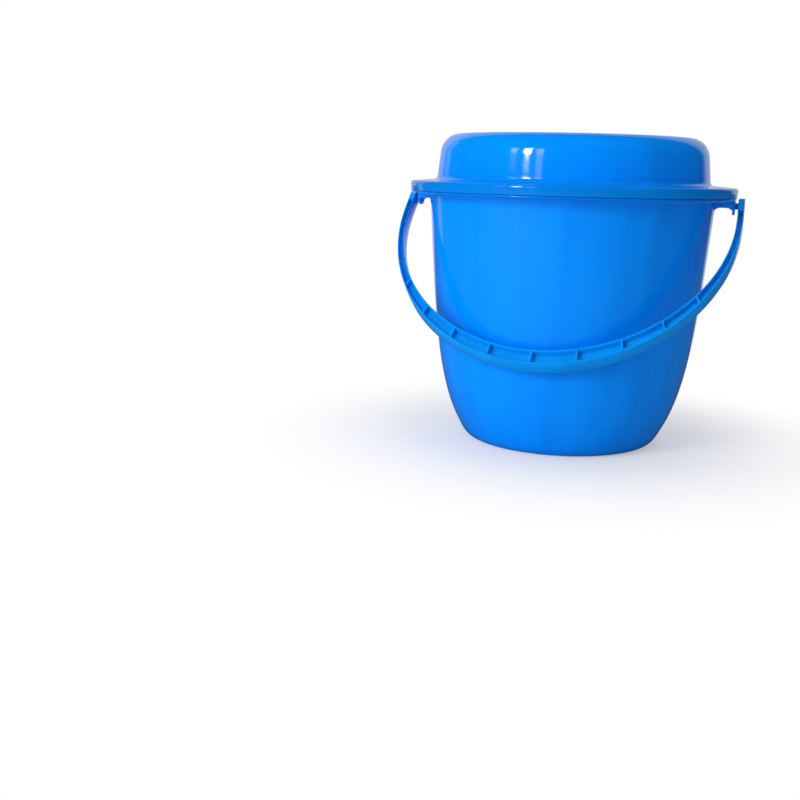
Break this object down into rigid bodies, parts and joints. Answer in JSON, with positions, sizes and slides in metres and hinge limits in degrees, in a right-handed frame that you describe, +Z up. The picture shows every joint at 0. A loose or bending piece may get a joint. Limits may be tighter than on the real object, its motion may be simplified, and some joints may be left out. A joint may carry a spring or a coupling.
{
  "type": "household bucket with lid",
  "caption": "Round moulded bucket with a rounded base, a domed lid that lifts off, and a ribbed handle that swings over it.",
  "frame": {"origin": "middle of the flat foot ring that the bucket stands on", "axes": "+Z up along the bucket's axis, +X along the handle's pivot axis, the handle at rest on the -Y side"},
  "size_m": [0.3148, 0.3, 0.284],
  "materials": {
    "bucket_plastic": "glossy blue polypropylene, slightly translucent, as it comes from a polished mould",
    "lid_plastic": "glossy blue polypropylene, slightly translucent, as it comes from a polished mould",
    "handle_plastic": "satin blue polypropylene with visible ribs"
  },
  "bodies": {
    "bucket": {"bucket": "bucket_plastic"},
    "lid": {"lid": "lid_plastic"},
    "handle": {"handle": "handle_plastic"}
  },
  "joints": [
    {"name": "lid_lift", "type": "slide", "parent": "bucket", "child": "lid", "axis": [0, 0, 1], "range_m": [0, 0.06]},
    {"name": "handle_swing", "type": "hinge", "parent": "bucket", "child": "handle", "pos_m": [0, 0, 0.2255], "axis": [-1, 0, 0], "range_deg": [0, 269]}
  ]
}
